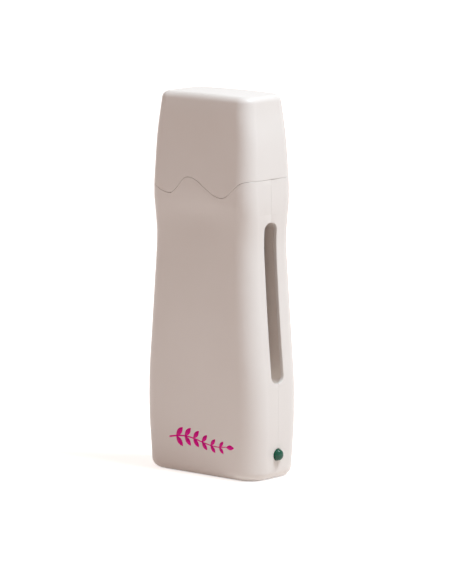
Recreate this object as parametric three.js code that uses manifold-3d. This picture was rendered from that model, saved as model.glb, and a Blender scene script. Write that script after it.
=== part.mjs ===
// Roll-on wax heater: a waisted two-part casing holds a well for a wax cartridge, with a thermostatic
// plate heater behind it, and a lift-off cap meets the casing on a wavy line.
// Millimetres, +Z up, X across the broad front, the front faces -Y. The origin is the centre of the base.

import * as THREE from "three";
import { mergeVertices } from "three/addons/utils/BufferGeometryUtils.js";
import Module from "manifold-3d";

const wasm = await Module();
wasm.setup();

// Outer form shared by the two shells and the cap
const casingHeight = 205;
const casingHalfWidth = 40.1;
const casingHalfDepth = 20.4;
const casingWall = 2.2;
const capWall = 2;
const baseEdgeRadius = 4.8;
const topEdgeRadius = 3.2;
const topCrown = 0.5;
const cornerRadiusAtBase = 12.3;
const cornerRadiusAtTop = 7.4;
// Height, half width and half depth, as shares of the three casing sizes
const bodyProfileShares = [
  [0, 0.965, 0.956],
  [0.07, 0.983, 0.98],
  [0.15, 1, 0.99],
  [0.25, 0.989, 0.998],
  [0.35, 0.943, 1],
  [0.49, 0.884, 0.978],
  [0.62, 0.836, 0.967],
  [0.67, 0.843, 0.98],
  [0.72, 0.862, 0.998],
];
const headProfileShares = [
  [0.72, 0.862, 0.998],
  [0.76, 0.864, 0.988],
  [0.8, 0.857, 0.963],
  [0.88, 0.841, 0.905],
  [0.95, 0.797, 0.861],
  [1, 0.779, 0.773],
];

// Clearances
const fitGap = 0.3;
const seamGap = 0.3;
const stackGap = 0.05;
const threadGap = 0.1;
const overrun = 5;
const ringSpacing = 2.5;

// Tongue on the front shell's edge, in a rebate of the rear shell
const seamLipThickness = 0.9;
const seamLipReach = 1.6;

// Shallow thumb dish under the cap, on the front
const dishDepth = 0.8;
const dishHalfWidth = 27;
const dishHalfHeight = 14;
const dishDrop = 21.3;

// Wavy parting line between the casing and the cap, read along X
const capHeight = 44.5;
const waveDepth = 9.5;
const partingGap = 0.3;
const waveCrestX = -6.2;
const waveLeftFall = 13.3;
const waveRightFall = 22.7;
const waveLeftRise = 25;
const waveRightRise = 16.6;

// Window slots in the two narrow sides
const slotHalfWidth = 5.1;
const slotDrop = 13.3;
const slotCornerRadius = 4.1;
const slotSill = 0.6;

// Cartridge well
const sleeveSideGap = 4;
const heaterRoom = 7.5;
const chamberCornerRadius = 5;
const chamberFloor = 52;
const wellWall = 1.3;
const wellFloorThickness = 2;
const neckRise = 7.7;
const neckTuck = 7.1;
const neckWall = 1.5;
const neckCornerRadius = 6;
const shelfHalfThickness = 1;
const shelfHeight = 9;
const shelfInset = 5;
const shelfReach = 11;
const ledgeHeight = 3;
const ledgeReach = 1.6;
const ledgeHalfLength = 9;

// Guide ribs inside the cap
const capRibHalfThickness = 0.7;
const capRibHeight = 9;
const capRibPlaceShare = 0.6;
const capRibLift = 2.5;

// Heater plate and its rails on the back of the well
const plateWidthShare = 0.73;
const plateThickness = 1.5;
const plateRiseShare = 0.063;
const plateDropShare = 0.3;
const padInset = 3;
const padMargin = 4.5;
const padCornerRadius = 2;
const tongueHalfWidth = 15.5;
const tongueLength = 34;
const railWall = 1.3;
const railLip = 1;
const railOverlap = 1.1;

// Stack behind the plate: sheet, electrode, two pills, electrode, sheet
const sheetThickness = 0.3;
const sheetRim = 1.4;
const electrodeThickness = 0.4;
const electrodeRim = 0.6;
const stackMargin = 2;
const pillThickness = 1.6;
const pillSpacing = 2;
const tabWidth = 4;
const tabLength = 5;
const tabInset = 3.7;

// Spring clamp over the stack
const clampThickness = 0.8;
const clampHeightShare = 0.73;
const clampEarWidth = 6.4;
const clampInset = 2.5;

// Round-head machine screws in the clamp and the thermostat bracket
const smallScrewRadius = 1.25;
const smallScrewHeadRadius = 2.3;
const smallScrewHeadHeight = 1.4;
const smallScrewTail = 0.5;
const screwTipShare = 0.6;
const screwCrownShare = 0.33;

// Disc thermostat on the tongue of the plate
const thermostatDrop = 22;
const cupFaceRadius = 7;
const cupFaceHeight = 0.9;
const cupBrimRadius = 8.3;
const cupBrimHeight = 0.6;
const cupRadius = 7.8;
const cupHeight = 2.4;
const thermostatBodyRadius = 8.2;
const thermostatBodyLength = 7.2;
const thermostatBaseHalfWidth = 6.4;
const thermostatBaseHalfHeight = 3.4;
const thermostatBaseLength = 2.6;
const bracketThickness = 0.8;
const bracketHalfWidth = 14.8;
const bracketHalfHeight = 4;
const bracketRingRadius = 9;
const bracketScrewX = 12;
const terminalX = 4.5;
const terminalHalfHeight = 2.4;
const terminalThickness = 0.8;
const terminalLength = 7.5;

// Thermal fuse under its clip, behind the tongue
const fuseDrop = 12;
const fuseRadius = 1.9;
const fuseHalfLength = 5.5;
const fuseConeLength = 1.6;
const fuseLeadRadius = 0.4;
const fuseLeadLength = 3;
const clipThickness = 0.5;
const clipHalfWidth = 3;
const clipEarLength = 4;

// Pilot lamp: green lens, neon bulb and its resistor
const lensHeight = 13.5;
const lensRadius = 3.1;
const lensProtrusion = 2.85;
const lensFlangeRadius = 4;
const lensFlangeThickness = 1;
const lensBoreDepth = 2.6;
const lensRibThickness = 1;
const lensRibHeight = 19;
const bulbRadius = 1.8;
const bulbLength = 10;
const resistorRadius = 1.15;
const resistorWaist = 0.95;
const resistorLength = 6.5;
const resistorLeadRadius = 0.3;
const resistorFromBulb = 5;
const resistorCollar = 1.3;
const bulbLeadOffset = 1;

// Two-pin mains inlet, low in the back
const inletHeight = 13;
const inletHalfWidth = 10.3;
const inletHalfHeight = 5.2;
const inletCornerRadius = 4.6;
const inletSetback = 0.5;
const inletLength = 15.6;
const inletFlangeRim = 1.8;
const inletFlangeThickness = 1.6;
const socketLobeRadius = 4.05;
const socketLobeX = 3.65;
const socketWaistHalfHeight = 3.1;
const socketDepth = 11.5;
const pinX = 4.3;
const pinRadius = 1.2;
const pinSetback = 1.6;
const pinTailLength = 7;
const pinTailHalfWidth = 1.2;
const pinTailHalfThickness = 0.4;
const pinGap = 0.05;

// Case screws, driven from the back into blind bosses
const caseScrewInset = 13.1;
const lowerScrewHeight = 20;
const upperScrewHeight = 44.5;
const caseScrewRadius = 1.5;
const caseScrewLength = 17;
const caseScrewHeadRadius = 2.8;
const caseScrewHeadHeight = 2;
const caseScrewSink = 12.4;
const bossRadius = 4.3;
const frontBossRadius = 3.4;
const counterboreGap = 0.4;

// Hook-up wire
const wireRadius = 0.8;
const lampWireRadius = 0.45;

// Steps in arcs and sweeps
const outerSteps = { corner: 6, edge: 5, front: 8, back: 4, side: 1, level: 1 };
const innerSteps = { corner: 4, edge: 3, front: 4, back: 4, side: 1, level: 2 };
const bodyLevels = 16;
const headLevels = 8;
const waveSteps = 9;
const crownRingShares = [0.66, 0.33];
const holeSteps = 8;
const smallArcSteps = 3;
const turnSteps = 16;
const screwTurnSteps = 10;
const domeSteps = 5;
const wireSides = 3;

const mergeTolerance = 1e-5;
const turn = 2 * Math.PI;
const quarter = Math.PI / 2;
const xAxis = new THREE.Vector3(1, 0, 0);
const yAxis = new THREE.Vector3(0, 1, 0);
const zAxis = new THREE.Vector3(0, 0, 1);

// A three.js geometry as a solid that can be joined and cut
function solidFrom(geometry) {
  const bare = new THREE.BufferGeometry();
  bare.setAttribute("position", geometry.getAttribute("position"));
  bare.setIndex(geometry.index);
  const merged = mergeVertices(bare, mergeTolerance);
  const kept = [];
  for (let i = 0; i < merged.index.count; i += 3) {
    const [a, b, c] = merged.index.array.slice(i, i + 3);
    if (a !== b && b !== c && c !== a) kept.push(a, b, c);
  }
  const vertProperties = merged.getAttribute("position").array;
  return new wasm.Manifold(new wasm.Mesh({ numProp: 3, vertProperties, triVerts: new Uint32Array(kept) }));
}

function geometryFrom(solid) {
  const mesh = solid.getMesh();
  const geometry = new THREE.BufferGeometry();
  geometry.setAttribute("position", new THREE.BufferAttribute(mesh.vertProperties, 3));
  geometry.setIndex(new THREE.BufferAttribute(mesh.triVerts, 1));
  geometry.computeVertexNormals();
  return geometry;
}

function join(solids) {
  return solids.reduce((all, solid) => all.add(solid));
}

function cut(solid, cutters) {
  return cutters.reduce((left, cutter) => left.subtract(cutter), solid);
}

function box([x0, x1], [y0, y1], [z0, z1]) {
  const geometry = new THREE.BoxGeometry(x1 - x0, y1 - y0, z1 - z0);
  geometry.translate((x0 + x1) / 2, (y0 + y1) / 2, (z0 + z1) / 2);
  return solidFrom(geometry);
}

// A flat shape pushed along an axis. It is drawn in (Y, Z) for x, in (X, Z) for y and in (X, Y) for z.
function prism(shape, axis, from, to, curveSegments = smallArcSteps) {
  const geometry = new THREE.ExtrudeGeometry(shape, { depth: to - from, bevelEnabled: false, curveSegments });
  const place = new THREE.Matrix4();
  if (axis === "x") place.makeBasis(yAxis, zAxis, xAxis).setPosition(from, 0, 0);
  if (axis === "y") place.makeBasis(xAxis, zAxis, yAxis.clone().negate()).setPosition(0, to, 0);
  if (axis === "z") place.setPosition(0, 0, from);
  return solidFrom(geometry.applyMatrix4(place));
}

function circle(u, v, radius) {
  return new THREE.Shape().absarc(u, v, radius, 0, turn);
}

function rod(axis, u, v, radius, from, to) {
  return prism(circle(u, v, radius), axis, from, to, holeSteps);
}

function roundedRectangle(halfWidth, halfHeight, radius, u = 0, v = 0) {
  const left = u - halfWidth + radius;
  const right = u + halfWidth - radius;
  const low = v - halfHeight + radius;
  const high = v + halfHeight - radius;
  return new THREE.Shape()
    .absarc(right, high, radius, 0, quarter)
    .absarc(left, high, radius, quarter, 2 * quarter)
    .absarc(left, low, radius, 2 * quarter, 3 * quarter)
    .absarc(right, low, radius, 3 * quarter, turn);
}

// A turned piece. The profile lists [radius, distance along the axis], from low to high.
function turned(profile, axis, [x, y, z] = [0, 0, 0], steps = turnSteps) {
  const points = profile.map(([radius, along]) => new THREE.Vector2(radius, along));
  const geometry = new THREE.LatheGeometry(points, steps);
  if (axis === "x") geometry.rotateZ(-quarter);
  return solidFrom(geometry.translate(x, y, z));
}

function wire(points, radius, steps) {
  const extrudePath = new THREE.CatmullRomCurve3(points.map((point) => new THREE.Vector3(...point)));
  const options = { extrudePath, steps, bevelEnabled: false, curveSegments: wireSides };
  return solidFrom(new THREE.ExtrudeGeometry(circle(0, 0, radius), options));
}

// Closed skin over a stack of rings, each walked anticlockwise seen from above
function loft(rings) {
  const count = rings[0].length;
  const middle = (ring) => new THREE.Box3().setFromPoints(ring).getCenter(new THREE.Vector3());
  const points = [...rings.flat(), middle(rings[0]), middle(rings.at(-1))];
  const low = points.length - 2;
  const high = points.length - 1;
  const faces = [];
  for (let j = 0; j < count; j++) {
    const next = (j + 1) % count;
    const last = (rings.length - 1) * count;
    faces.push(low, next, j, high, last + j, last + next);
    for (let i = 0; i < rings.length - 1; i++) {
      const [a, b] = [i * count + j, i * count + next];
      faces.push(a, b, b + count, a, b + count, a + count);
    }
  }
  const geometry = new THREE.BufferGeometry().setFromPoints(points);
  geometry.setIndex(faces);
  return solidFrom(geometry);
}

// Casing sizes at each level: x is the half width, y the half depth
function levelsAlong(shares, count) {
  const knots = shares.map(
    ([height, width, depth]) =>
      new THREE.Vector3(width * casingHalfWidth, depth * casingHalfDepth, height * casingHeight),
  );
  return new THREE.CatmullRomCurve3(knots).getPoints(count);
}

const bodyProfile = levelsAlong(bodyProfileShares, bodyLevels);
const headProfile = levelsAlong(headProfileShares, headLevels);
const casingLevels = [...bodyProfile, ...headProfile.slice(1)];

const partingHigh = casingHeight - capHeight;
const partingLow = partingHigh - waveDepth;

function sizeAt(z) {
  const above = Math.max(1, casingLevels.findIndex((level) => level.z >= z));
  const [low, high] = [casingLevels[above - 1], casingLevels[above]];
  return low.clone().lerp(high, (z - low.z) / (high.z - low.z));
}

function cornerRadiusAt(z) {
  return THREE.MathUtils.lerp(cornerRadiusAtBase, cornerRadiusAtTop, z / casingHeight);
}

// Levels of the skin at a distance inside the outer form, rounded at the base and at the top
function skinLevels(offset, steps) {
  const top = casingHeight - topCrown - offset;
  const arc = Array.from({ length: steps.edge + 1 }, (_, i) => (i / steps.edge) * quarter);
  const baseRadius = baseEdgeRadius - offset;
  const topRadius = topEdgeRadius - offset;
  const base = arc.map((angle) => ({
    z: offset + baseRadius * (1 - Math.cos(angle)),
    inset: offset + baseRadius * (1 - Math.sin(angle)),
  }));
  const walls = casingLevels
    .filter((level, index) => index % steps.level === 0)
    .filter((level) => level.z > baseEdgeRadius + ringSpacing && level.z < top - topRadius - ringSpacing)
    .map((level) => ({ z: level.z, inset: offset }));
  const edge = arc.map((angle) => ({
    z: top - topRadius * (1 - Math.sin(angle)),
    inset: offset + topRadius * (1 - Math.cos(angle)),
    crown: topCrown * Math.sin(angle),
  }));
  const roof = crownRingShares.map((shrink) => ({ ...edge.at(-1), shrink }));
  return [...base, ...walls, ...edge, ...roof];
}

function dishAt(x, z) {
  const reach = Math.hypot(x / dishHalfWidth, (z - partingHigh + dishDrop) / dishHalfHeight);
  return reach < 1 ? (dishDepth * (1 + Math.cos(reach * Math.PI))) / 2 : 0;
}

// One ring of the casing: four corner arcs and the points between them
function skinRing({ z, inset, crown = 0, shrink = 1 }, steps, dished) {
  const size = sizeAt(z);
  const halfWidth = size.x - inset;
  const halfDepth = size.y - inset;
  const radius = cornerRadiusAt(z) - inset;
  const corners = [
    [1, 1, 0],
    [-1, 1, 1],
    [-1, -1, 2],
    [1, -1, 3],
  ];
  const sides = [steps.back, steps.side, steps.front, steps.side];
  const ring = [];
  corners.forEach(([signX, signY, quarters], index) => {
    for (let i = 0; i <= steps.corner; i++) {
      const angle = (quarters + i / steps.corner) * quarter;
      const x = signX * (halfWidth - radius) + radius * Math.cos(angle);
      const y = signY * (halfDepth - radius) + radius * Math.sin(angle);
      ring.push(new THREE.Vector3(x, y, z));
    }
    const [nextX, nextY] = corners[(index + 1) % corners.length];
    const from = ring.at(-1).clone();
    const to = from.clone();
    to.x += (nextX - signX) * (halfWidth - radius);
    to.y += (nextY - signY) * (halfDepth - radius);
    for (let i = 1; i < sides[index]; i++) ring.push(from.clone().lerp(to, i / sides[index]));
  });
  for (const point of ring) {
    if (dished && point.y < 0) point.y += dishAt(point.x, z);
    point.x *= shrink;
    point.y *= shrink;
    point.z += crown * (1 - (point.x / halfWidth) ** 2);
  }
  return ring;
}

function skin(offset) {
  const outer = offset === 0;
  const steps = outer ? outerSteps : innerSteps;
  return loft(skinLevels(offset, steps).map((level) => skinRing(level, steps, outer)));
}

const outerSkin = skin(0);
const acrossX = [-casingHalfWidth - overrun, casingHalfWidth + overrun];
const acrossY = [-casingHalfDepth - overrun, casingHalfDepth + overrun];

// Everything above the parting line, raised by a distance
function aboveParting(raise) {
  const leftTrough = waveCrestX - waveLeftFall;
  const rightTrough = waveCrestX + waveRightFall;
  const turns = [
    [leftTrough - waveLeftRise, partingHigh],
    [leftTrough, partingLow],
    [waveCrestX, partingHigh],
    [rightTrough, partingLow],
    [rightTrough + waveRightRise, partingHigh],
  ];
  const line = [[acrossX[0], partingHigh]];
  for (let i = 1; i < turns.length; i++) {
    const [[x0, z0], [x1, z1]] = [turns[i - 1], turns[i]];
    for (let j = i === 1 ? 0 : 1; j <= waveSteps; j++) {
      const swing = (1 - Math.cos((j / waveSteps) * Math.PI)) / 2;
      line.push([x0 + ((x1 - x0) * j) / waveSteps, z0 + (z1 - z0) * swing]);
    }
  }
  line.push([acrossX[1], partingHigh]);
  const shape = new THREE.Shape(line.map(([x, z]) => new THREE.Vector2(x, z + raise)));
  shape.lineTo(acrossX[1], casingHeight + overrun).lineTo(acrossX[0], casingHeight + overrun);
  return prism(shape, "y", ...acrossY);
}

// Places that several pieces share
const slotBottom = chamberFloor + slotSill;
const slotTop = partingLow - slotDrop;
const neckTop = partingHigh + neckRise;
const neckBottom = partingLow - neckTuck;
const wellBottom = chamberFloor - wellFloorThickness;
const waist = bodyProfile.reduce((least, level) => (level.x < least.x ? level : least));
const chamberHalfWidth = waist.x - casingWall - sleeveSideGap - wellWall;
const chamberFront = -(waist.y - casingWall - fitGap - wellWall);
const chamberBack = waist.y - casingWall - heaterRoom;
const neckHalfWidth = sizeAt(neckBottom).x - casingWall - fitGap;
const neckHalfDepth = Math.min(sizeAt(neckBottom).y - casingWall, sizeAt(neckTop).y - capWall) - fitGap;
const plateFront = chamberBack + wellWall + stackGap;
const plateBack = plateFront + plateThickness;
const plateBottom = THREE.MathUtils.lerp(slotBottom, slotTop, plateRiseShare);
const plateTop = THREE.MathUtils.lerp(slotTop, slotBottom, plateDropShare);
const plateMiddle = (plateBottom + plateTop) / 2;
const plateHalfWidth = chamberHalfWidth * plateWidthShare;
const padHalfWidth = plateHalfWidth - padInset;
const padHalfHeight = (plateTop - plateBottom) / 2 - padMargin;
const tongueBottom = plateBottom - tongueLength;
const thermostatHeight = plateBottom - thermostatDrop;
const fuseHeight = plateBottom - fuseDrop;
const lensSurface = sizeAt(lensHeight).x;
const lensFlangeOuter = lensSurface - casingWall - fitGap;
const lensFlangeInner = lensFlangeOuter - lensFlangeThickness;
const bulbTip = lensFlangeInner + lensBoreDepth - fitGap;
const bulbEnd = bulbTip - bulbLength;
const inletFace = sizeAt(inletHeight).y - inletSetback;
const inletBack = inletFace - inletLength;
const inletFlangeBack = sizeAt(inletHeight).y - casingWall - fitGap - inletFlangeThickness;
const pinTailEnd = inletBack - pinTailLength;
const caseScrewX = casingHalfWidth - caseScrewInset;
const caseScrewSeat = casingHalfDepth - caseScrewSink;
const caseScrewPlaces = [
  { name: "lower_left", x: -caseScrewX, z: lowerScrewHeight },
  { name: "lower_right", x: caseScrewX, z: lowerScrewHeight },
  { name: "upper_left", x: -caseScrewX, z: upperScrewHeight },
  { name: "upper_right", x: caseScrewX, z: upperScrewHeight },
];

// The heating stack, from the plate backwards
const stackBottom = plateBottom + padMargin + stackMargin;
const pillsHeight = 2 * (padHalfHeight - stackMargin);
const pillHeight = (pillsHeight - pillSpacing) / 2;
const stackHalfHeight = (pillsHeight + stackMargin) / 2;
const frontSheet = [plateBack + stackGap, plateBack + stackGap + sheetThickness];
const frontElectrode = [frontSheet[1] + stackGap, frontSheet[1] + stackGap + electrodeThickness];
const pills = [frontElectrode[1] + stackGap, frontElectrode[1] + stackGap + pillThickness];
const rearElectrode = [pills[1] + stackGap, pills[1] + stackGap + electrodeThickness];
const rearSheet = [rearElectrode[1] + stackGap, rearElectrode[1] + stackGap + sheetThickness];
const clampBridge = [rearSheet[1] + stackGap, rearSheet[1] + stackGap + clampThickness];
const clampHalfHeight = (pillsHeight * clampHeightShare) / 2;
const clampEnd = plateHalfWidth - clampInset;
const clampScrewX = clampEnd - clampEarWidth / 2;
const clampRiser = clampEnd - clampEarWidth - clampThickness;
const sheetHalfWidth = clampRiser - fitGap;
const electrodeHalfWidth = sheetHalfWidth - sheetRim;
const pillHalfWidth = electrodeHalfWidth - electrodeRim;
const tabX = electrodeHalfWidth / 2;
const tabOutreach = clampEnd - tabInset;

function slotShape(rim) {
  const halfHeight = (slotTop - slotBottom) / 2 + rim;
  const middle = (slotTop + slotBottom) / 2;
  return roundedRectangle(slotHalfWidth + rim, halfHeight, slotCornerRadius + rim, 0, middle);
}

// The band that the tongue fills along the seam, or with a gap the rebate round it
function seamRing(gap) {
  const reach = seamLipReach + gap;
  const band = box(acrossX, [-reach, reach], [-overrun, casingHeight]);
  return skin(casingWall - seamLipThickness - gap).subtract(skin(casingWall + gap)).intersect(band);
}

// Front shell is side -1, rear shell is side 1
function shellHalf(side) {
  const span = (near, far) => (side > 0 ? [near, far] : [-far, -near]);
  const half = box(acrossX, span(seamGap / 2, casingHalfDepth + overrun), [-overrun, casingHeight]);
  const toWall = span(seamGap / 2, casingHalfDepth);
  const radius = side > 0 ? bossRadius : frontBossRadius;
  const bosses = caseScrewPlaces.map(({ x, z }) => rod("y", x, z, radius, ...toWall));
  const shelfX = chamberHalfWidth - shelfInset;
  const shelves = [-shelfX, shelfX].map((x) =>
    box(
      [x - shelfHalfThickness, x + shelfHalfThickness],
      span(casingHalfDepth - shelfReach, casingHalfDepth),
      [wellBottom - fitGap - shelfHeight, wellBottom - fitGap],
    ),
  );
  const ledgeLevel = neckBottom - fitGap;
  const ledge = box(
    [-ledgeHalfLength, ledgeHalfLength],
    span(sizeAt(ledgeLevel).y - casingWall - ledgeReach, casingHalfDepth),
    [ledgeLevel - ledgeHeight, ledgeLevel],
  );
  const lensRib = box(
    [lensFlangeInner - fitGap - lensRibThickness, lensFlangeInner - fitGap],
    toWall,
    [0, lensRibHeight],
  );
  const inside = join([...bosses, ...shelves, lensRib]).intersect(skin(casingWall / 2));
  const holes = [
    aboveParting(-partingGap / 2),
    prism(slotShape(0), "x", ...acrossX, holeSteps),
    rod("x", 0, lensHeight, lensRadius + fitGap, lensFlangeOuter, acrossX[1]),
    rod("x", 0, lensHeight, bulbRadius + fitGap, bulbEnd, lensFlangeOuter),
  ];
  for (const { x, z } of caseScrewPlaces) {
    const holeRadius = caseScrewRadius + threadGap;
    const holeEnd = caseScrewSeat - caseScrewLength - fitGap;
    holes.push(rod("y", x, z, holeRadius, holeEnd, caseScrewSeat + overrun));
    if (side > 0) holes.push(rod("y", x, z, caseScrewHeadRadius + counterboreGap, caseScrewSeat, acrossY[1]));
  }
  if (side > 0) {
    const opening = roundedRectangle(
      inletHalfWidth + fitGap,
      inletHalfHeight + fitGap,
      inletCornerRadius + fitGap,
      0,
      inletHeight,
    );
    holes.push(prism(opening, "y", inletFlangeBack, acrossY[1]), seamRing(fitGap));
  }
  const wall = outerSkin.subtract(skin(casingWall)).add(inside).intersect(half);
  const extra = side > 0 ? ledge.intersect(skin(casingWall / 2)) : seamRing(0);
  return cut(wall.add(extra), holes);
}

// The cap is one hollow moulding with short guide ribs that run on the neck
function capShell() {
  const ribBottom = partingHigh + capRibLift;
  const ribX = neckHalfWidth * capRibPlaceShare;
  const ribs = [-1, 1].flatMap((side) =>
    [-ribX, 0, ribX].map((x) => {
      const reach = [side * (neckHalfDepth + fitGap), side * casingHalfDepth].sort((a, b) => a - b);
      const across = [x - capRibHalfThickness, x + capRibHalfThickness];
      return box(across, reach, [ribBottom, ribBottom + capRibHeight]);
    }),
  );
  const hollow = outerSkin.subtract(skin(capWall));
  return hollow.add(join(ribs).intersect(skin(capWall / 2))).intersect(aboveParting(partingGap / 2));
}

function chamberShape(rim) {
  const middle = (chamberFront + chamberBack) / 2;
  const halfDepth = (chamberBack - chamberFront) / 2 + rim;
  return roundedRectangle(chamberHalfWidth + rim, halfDepth, chamberCornerRadius + rim, 0, middle);
}

// Sleeve, neck, window tunnels and plate rails, moulded as one piece
function cartridgeWell() {
  const sleeve = prism(chamberShape(wellWall), "z", wellBottom, neckTop);
  const neckShape = roundedRectangle(neckHalfWidth, neckHalfDepth, neckCornerRadius);
  const neck = prism(neckShape, "z", neckBottom, neckTop);
  const underDeck = prism(
    roundedRectangle(neckHalfWidth - neckWall, neckHalfDepth - neckWall, neckCornerRadius - neckWall),
    "z",
    neckBottom - overrun,
    neckTop - neckWall,
  );
  const tunnels = prism(slotShape(wellWall), "x", ...acrossX, holeSteps).intersect(skin(casingWall + fitGap));
  const railInner = plateHalfWidth + fitGap;
  const railDepth = plateBack + fitGap;
  const rails = [-1, 1].map((side) => {
    const outline = new THREE.Shape([
      new THREE.Vector2(side * railInner, chamberBack + wellWall / 2),
      new THREE.Vector2(side * (railInner + railWall), chamberBack + wellWall / 2),
      new THREE.Vector2(side * (railInner + railWall), railDepth + railLip),
      new THREE.Vector2(side * (railInner - railOverlap), railDepth + railLip),
      new THREE.Vector2(side * (railInner - railOverlap), railDepth),
      new THREE.Vector2(side * railInner, railDepth),
    ]);
    return prism(outline, "z", plateBottom, plateTop);
  });
  const window = roundedRectangle(
    padHalfWidth + fitGap,
    padHalfHeight + fitGap,
    padCornerRadius + fitGap,
    0,
    plateMiddle,
  );
  return cut(join([neck.subtract(underDeck), sleeve, tunnels, ...rails]), [
    prism(chamberShape(0), "z", chamberFloor, neckTop + overrun),
    prism(slotShape(0), "x", ...acrossX, holeSteps),
    prism(window, "y", chamberBack - overrun, plateFront),
  ]);
}

// Aluminium plate: a raised pad in the well's window, and a tongue down to the thermostat
function heaterPlate() {
  const pad = roundedRectangle(padHalfWidth, padHalfHeight, padCornerRadius, 0, plateMiddle);
  const rootHalfWidth = Math.min(tongueHalfWidth, plateHalfWidth);
  const screwHoles = [-bracketScrewX, bracketScrewX].map((x) =>
    rod("y", x, thermostatHeight, smallScrewRadius + threadGap, plateFront - overrun, plateBack + overrun),
  );
  const clampHoles = [-clampScrewX, clampScrewX].map((x) =>
    rod("y", x, plateMiddle, smallScrewRadius + threadGap, plateFront, plateBack + overrun),
  );
  const plate = join([
    box([-plateHalfWidth, plateHalfWidth], [plateFront, plateBack], [plateBottom, plateTop]),
    box([-tongueHalfWidth, tongueHalfWidth], [plateFront, plateBack], [tongueBottom, plateBottom]),
    box([-rootHalfWidth, rootHalfWidth], [plateFront, plateBack], [tongueBottom, plateTop]),
    prism(pad, "y", chamberBack, plateBack),
  ]);
  return cut(plate, [...screwHoles, ...clampHoles]);
}

function insulatingSheet(layer) {
  const high = plateMiddle + stackHalfHeight;
  return box([-sheetHalfWidth, sheetHalfWidth], layer, [plateMiddle - stackHalfHeight, high]);
}

function electrode(layer, tabFrom, tabTo) {
  const high = stackBottom + pillsHeight;
  const footTop = stackBottom - tabLength / 2;
  const sheet = box([-electrodeHalfWidth, electrodeHalfWidth], layer, [stackBottom, high]);
  const stem = box([tabFrom, Math.min(tabTo, electrodeHalfWidth)], layer, [stackBottom - tabLength, high]);
  const foot = box([tabFrom, tabTo], layer, [stackBottom - tabLength, footTop]);
  return join([sheet, stem, foot]);
}

function pill(low) {
  return box([-pillHalfWidth, pillHalfWidth], pills, [low, low + pillHeight]);
}

// Hat-shaped spring steel clamp, with an ear on each side of the stack
function heaterClamp() {
  const ear = plateBack + stackGap;
  const outer = clampRiser + clampThickness;
  const half = [
    [clampEnd, ear],
    [clampEnd, ear + clampThickness],
    [outer, ear + clampThickness],
    [outer, clampBridge[1]],
  ];
  const inner = [
    [clampRiser, clampBridge[0]],
    [clampRiser, ear],
  ];
  const mirrored = (points) => points.map(([x, y]) => [-x, y]).reverse();
  const outline = [...half, ...mirrored(half), ...mirrored(inner), ...inner];
  const shape = new THREE.Shape(outline.map(([x, y]) => new THREE.Vector2(x, y)));
  const clamp = prism(shape, "z", plateMiddle - clampHalfHeight, plateMiddle + clampHalfHeight);
  const holes = [-clampScrewX, clampScrewX].map((x) =>
    rod("y", x, plateMiddle, smallScrewRadius + fitGap, ear - overrun, ear + overrun),
  );
  return cut(clamp, holes);
}

// A screw along Y: its head sits on the seat, on the side that the sign gives
function screw(x, z, seat, side, { shankRadius, length, headRadius, headHeight }) {
  const crown = headHeight * screwCrownShare;
  const profile = [
    [0, -length],
    [shankRadius * screwTipShare, -length],
    [shankRadius, -length + shankRadius],
    [shankRadius, 0],
    [headRadius, 0],
    [headRadius, headHeight - crown],
    [headRadius - crown, headHeight],
    [0, headHeight],
  ];
  const ordered = side > 0 ? profile : profile.map(([radius, along]) => [radius, -along]).reverse();
  return turned(ordered, "y", [x, seat, z], screwTurnSteps);
}

const smallScrew = {
  shankRadius: smallScrewRadius,
  headRadius: smallScrewHeadRadius,
  headHeight: smallScrewHeadHeight,
};
const caseScrew = {
  shankRadius: caseScrewRadius,
  headRadius: caseScrewHeadRadius,
  headHeight: caseScrewHeadHeight,
  length: caseScrewLength,
};

// Thermostat pieces, from the plate forwards
const cupFace = plateFront - stackGap;
const brimBack = cupFace - cupFaceHeight;
const brimFront = brimBack - cupBrimHeight;
const cupFront = brimFront - cupHeight;
const bracketBack = plateFront - stackGap;
const bracketFront = brimBack + stackGap;
const bodyBack = cupFront - stackGap;
const bodyFront = bodyBack - thermostatBodyLength;
const baseFront = bodyFront - thermostatBaseLength;

function thermostatCup() {
  return turned(
    [
      [0, cupFront],
      [cupRadius, cupFront],
      [cupRadius, brimFront],
      [cupBrimRadius, brimFront],
      [cupBrimRadius, brimBack],
      [cupFaceRadius, brimBack],
      [cupFaceRadius, cupFace],
      [0, cupFace],
    ],
    "y",
    [0, 0, thermostatHeight],
  );
}

function thermostatBody() {
  const barrel = rod("y", 0, thermostatHeight, thermostatBodyRadius, bodyFront, bodyBack);
  const base = box(
    [-thermostatBaseHalfWidth, thermostatBaseHalfWidth],
    [baseFront, bodyBack - thermostatBodyLength / 2],
    [thermostatHeight - thermostatBaseHalfHeight, thermostatHeight + thermostatBaseHalfHeight],
  );
  return barrel.add(base);
}

function thermostatBracket() {
  const ears = roundedRectangle(
    bracketHalfWidth,
    bracketHalfHeight,
    bracketHalfHeight / 2,
    0,
    thermostatHeight,
  );
  const layer = [bracketFront, Math.min(bracketFront + bracketThickness, bracketBack)];
  return cut(prism(ears, "y", ...layer).add(rod("y", 0, thermostatHeight, bracketRingRadius, ...layer)), [
    rod("y", 0, thermostatHeight, cupFaceRadius + fitGap, bracketFront - overrun, bracketBack + overrun),
    rod("y", -bracketScrewX, thermostatHeight, smallScrewRadius + fitGap, bracketFront - overrun, plateFront),
    rod("y", bracketScrewX, thermostatHeight, smallScrewRadius + fitGap, bracketFront - overrun, plateFront),
  ]);
}

function terminal(x) {
  return box(
    [x - terminalThickness / 2, x + terminalThickness / 2],
    [baseFront - stackGap - terminalLength, baseFront - stackGap],
    [thermostatHeight - terminalHalfHeight, thermostatHeight + terminalHalfHeight],
  );
}

// Thermal fuse: a can with a sealed cone at one end and a lead at each end
const fuseY = plateBack + fuseRadius + stackGap;

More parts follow.
